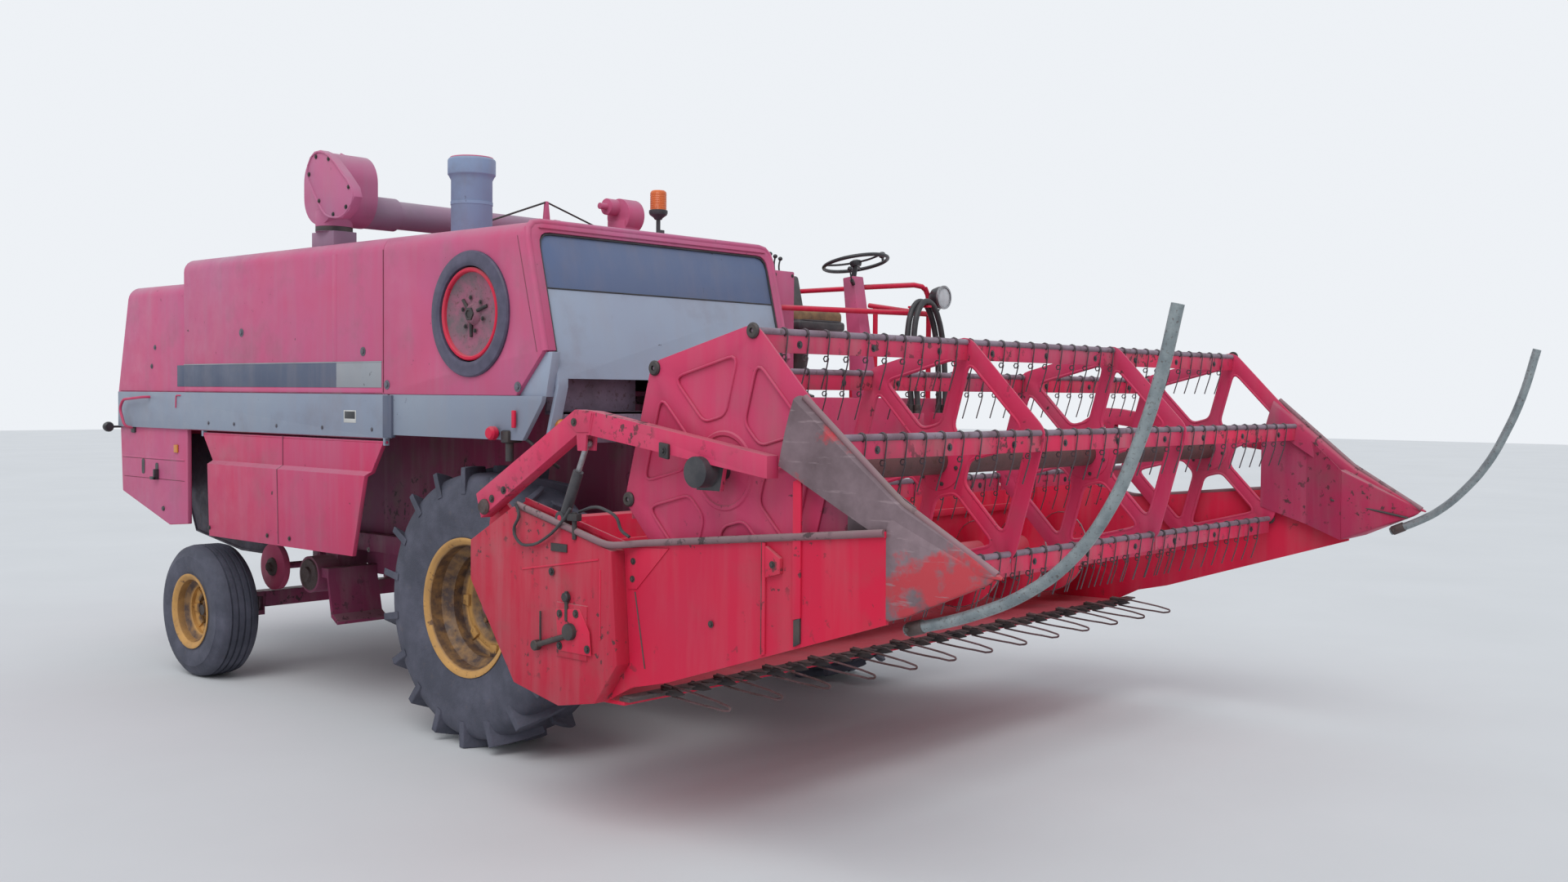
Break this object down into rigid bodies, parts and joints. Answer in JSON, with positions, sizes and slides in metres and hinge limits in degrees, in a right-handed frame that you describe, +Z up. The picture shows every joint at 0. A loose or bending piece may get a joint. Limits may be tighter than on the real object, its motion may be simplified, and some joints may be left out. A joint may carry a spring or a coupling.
{
  "type": "combine harvester",
  "caption": "Self-propelled grain combine with a raised cutting header, tined reel, open operator's platform, grain tank and swinging unloading tube, on driven front and steered rear wheels.",
  "frame": {"origin": "on the ground, under the middle of the whole machine's bounding box", "axes": "+Y towards the rear of the machine, +Z up, +X towards the driver's side, which is the machine's left"},
  "size_m": [4.308, 8.0774, 3.186],
  "materials": {
    "red_paint": "faded gloss",
    "silver_paint": "dull silver",
    "dark_paint": "satin",
    "grey_paint": "weathered",
    "rim_paint": "faded gloss",
    "engine_iron": "oily",
    "seat_cover": "worn",
    "lamp_plastic": "gloss",
    "tyre_rubber": "worn",
    "hose_rubber": "dull",
    "galvanised_steel": "dull",
    "worn_steel": "rusty"
  },
  "bodies": {
    "chassis": {"chassis_frame": "red_paint", "front_axle": "red_paint", "rear_axle": "red_paint", "threshing_body": "red_paint", "engine_hood": "red_paint", "grain_tank": "red_paint", "straw_hood": "red_paint", "front_panel": "silver_paint", "dash_panel": "dark_paint", "side_bands": "silver_paint", "air_screen": "dark_paint", "intake_stack": "grey_paint", "engine_block": "engine_iron", "hoses": "hose_rubber", "platform": "red_paint", "guard_rails": "red_paint", "seat": "seat_cover", "steering": "red_paint", "control_console": "red_paint", "lamps": "lamp_plastic", "grain_elevator": "red_paint", "unloader_riser": "red_paint", "underside_drive": "red_paint"},
    "screen_rotor": {"screen_rotor": "red_paint"},
    "unloader": {"unloader_tube": "red_paint"},
    "wheel_front_right": {"front_rim_right": "rim_paint", "front_tyre_right": "tyre_rubber"},
    "wheel_front_left": {"front_rim_left": "rim_paint", "front_tyre_left": "tyre_rubber"},
    "knuckle_right": {"knuckle_right": "dark_paint"},
    "knuckle_left": {"knuckle_left": "dark_paint"},
    "wheel_rear_right": {"rear_rim_right": "rim_paint", "rear_tyre_right": "tyre_rubber"},
    "wheel_rear_left": {"rear_rim_left": "rim_paint", "rear_tyre_left": "tyre_rubber"},
    "shield_right": {"shield_right": "red_paint"},
    "shield_left": {"shield_left": "red_paint"},
    "header": {"header_back": "red_paint", "header_end_right": "red_paint", "header_end_left": "red_paint", "header_drive_box": "red_paint", "dividers": "red_paint", "divider_rods": "galvanised_steel", "cutter_bar": "worn_steel", "feeder_house": "red_paint"},
    "auger": {"header_auger": "red_paint"},
    "reel_arms": {"reel_arms": "red_paint"},
    "reel": {"reel": "red_paint"},
    "bat_1": {"bat_1": "red_paint"},
    "bat_2": {"bat_2": "red_paint"},
    "bat_3": {"bat_3": "red_paint"},
    "bat_4": {"bat_4": "red_paint"},
    "bat_5": {"bat_5": "red_paint"},
    "bat_6": {"bat_6": "red_paint"},
    "lift_barrels": {"lift_barrels": "dark_paint"},
    "lift_rods": {"lift_rods": "worn_steel"},
    "reel_barrels": {"reel_barrels": "dark_paint"},
    "reel_rods": {"reel_rods": "worn_steel"}
  },
  "joints": [
    {"name": "screen_spin", "type": "hinge", "parent": "chassis", "child": "screen_rotor", "pos_m": [-1.52, 0.02572, 2.195], "axis": [1, 0, 0], "continuous": true},
    {"name": "unloader_swing", "type": "hinge", "parent": "chassis", "child": "unloader", "pos_m": [-1.285, 1.66972, 2.758], "axis": [0, 0, 1], "range_deg": [0, 180]},
    {"name": "wheel_front_right_spin", "type": "hinge", "parent": "chassis", "child": "wheel_front_right", "pos_m": [-1.29, 0.10872, 0.715], "axis": [1, 0, 0], "continuous": true},
    {"name": "wheel_front_left_spin", "type": "hinge", "parent": "chassis", "child": "wheel_front_left", "pos_m": [1.29, 0.10872, 0.715], "axis": [1, 0, 0], "continuous": true},
    {"name": "steer_right", "type": "hinge", "parent": "chassis", "child": "knuckle_right", "pos_m": [-1.16, 2.87872, 0.43], "axis": [0, 0, 1], "range_deg": [-25, 25]},
    {"name": "steer_left", "type": "hinge", "parent": "chassis", "child": "knuckle_left", "pos_m": [1.16, 2.87872, 0.43], "axis": [0, 0, 1], "range_deg": [-25, 25]},
    {"name": "wheel_rear_right_spin", "type": "hinge", "parent": "knuckle_right", "child": "wheel_rear_right", "pos_m": [-1.44, 2.87872, 0.415], "axis": [1, 0, 0], "continuous": true},
    {"name": "wheel_rear_left_spin", "type": "hinge", "parent": "knuckle_left", "child": "wheel_rear_left", "pos_m": [1.44, 2.87872, 0.415], "axis": [1, 0, 0], "continuous": true},
    {"name": "shield_right_lift", "type": "hinge", "parent": "chassis", "child": "shield_right", "pos_m": [-1.508, 1.79872, 1.533], "axis": [0, 1, 0], "range_deg": [0, 75]},
    {"name": "shield_left_lift", "type": "hinge", "parent": "chassis", "child": "shield_left", "pos_m": [1.508, 1.79872, 1.533], "axis": [0, -1, 0], "range_deg": [0, 75]},
    {"name": "header_lift", "type": "hinge", "parent": "chassis", "child": "header", "pos_m": [0, -0.24128, 1.35], "axis": [-1, 0, 0], "range_deg": [-18, 6]},
    {"name": "auger_spin", "type": "hinge", "parent": "header", "child": "auger", "pos_m": [0, -1.31628, 0.868], "axis": [1, 0, 0], "continuous": true},
    {"name": "reel_lift", "type": "hinge", "parent": "header", "child": "reel_arms", "pos_m": [0, -0.90128, 1.318], "axis": [-1, 0, 0], "range_deg": [-4, 12]},
    {"name": "reel_spin", "type": "hinge", "parent": "reel_arms", "child": "reel", "pos_m": [0, -2.20128, 1.52], "axis": [1, 0, 0], "continuous": true},
    {"name": "bat_1_turn", "type": "hinge", "parent": "reel", "child": "bat_1", "pos_m": [0, -1.82346, 1.90582], "axis": [1, 0, 0], "continuous": true},
    {"name": "bat_2_turn", "type": "hinge", "parent": "reel", "child": "bat_2", "pos_m": [0, -2.34649, 2.04011], "axis": [1, 0, 0], "continuous": true},
    {"name": "bat_3_turn", "type": "hinge", "parent": "reel", "child": "bat_3", "pos_m": [0, -2.72431, 1.65429], "axis": [1, 0, 0], "continuous": true},
    {"name": "bat_4_turn", "type": "hinge", "parent": "reel", "child": "bat_4", "pos_m": [0, -2.57909, 1.13418], "axis": [1, 0, 0], "continuous": true},
    {"name": "bat_5_turn", "type": "hinge", "parent": "reel", "child": "bat_5", "pos_m": [0, -2.05606, 0.99989], "axis": [1, 0, 0], "continuous": true},
    {"name": "bat_6_turn", "type": "hinge", "parent": "reel", "child": "bat_6", "pos_m": [0, -1.67824, 1.38571], "axis": [1, 0, 0], "continuous": true},
    {"name": "lift_barrels_swing", "type": "hinge", "parent": "chassis", "child": "lift_barrels", "pos_m": [0, -0.00128, 0.54], "axis": [-1, 0, 0], "range_deg": [-14, 5]},
    {"name": "lift_rods_slide", "type": "slide", "parent": "lift_barrels", "child": "lift_rods", "axis": [0, -0.9991, 0.0416], "range_m": [-0.262, 0.09]},
    {"name": "reel_barrels_swing", "type": "hinge", "parent": "header", "child": "reel_barrels", "pos_m": [0, -1.39128, 1.3], "axis": [-1, 0, 0], "range_deg": [-6.5, 17]},
    {"name": "reel_rods_slide", "type": "slide", "parent": "reel_barrels", "child": "reel_rods", "axis": [0, -0.4172, 0.9088], "range_m": [-0.034, 0.1]}
  ],
  "couplings": [
    {"joint": "steer_left", "follows": "steer_right", "ratio": 1},
    {"joint": "bat_1_turn", "follows": "reel_spin", "ratio": -1},
    {"joint": "bat_2_turn", "follows": "reel_spin", "ratio": -1},
    {"joint": "bat_3_turn", "follows": "reel_spin", "ratio": -1},
    {"joint": "bat_4_turn", "follows": "reel_spin", "ratio": -1},
    {"joint": "bat_5_turn", "follows": "reel_spin", "ratio": -1},
    {"joint": "bat_6_turn", "follows": "reel_spin", "ratio": -1},
    {"joint": "lift_barrels_swing", "follows": "header_lift", "ratio": 0.735},
    {"joint": "lift_rods_slide", "follows": "header_lift", "m_per_rad": 0.817},
    {"joint": "reel_barrels_swing", "follows": "reel_lift", "ratio": 1.36},
    {"joint": "reel_rods_slide", "follows": "reel_lift", "m_per_rad": 0.47}
  ]
}
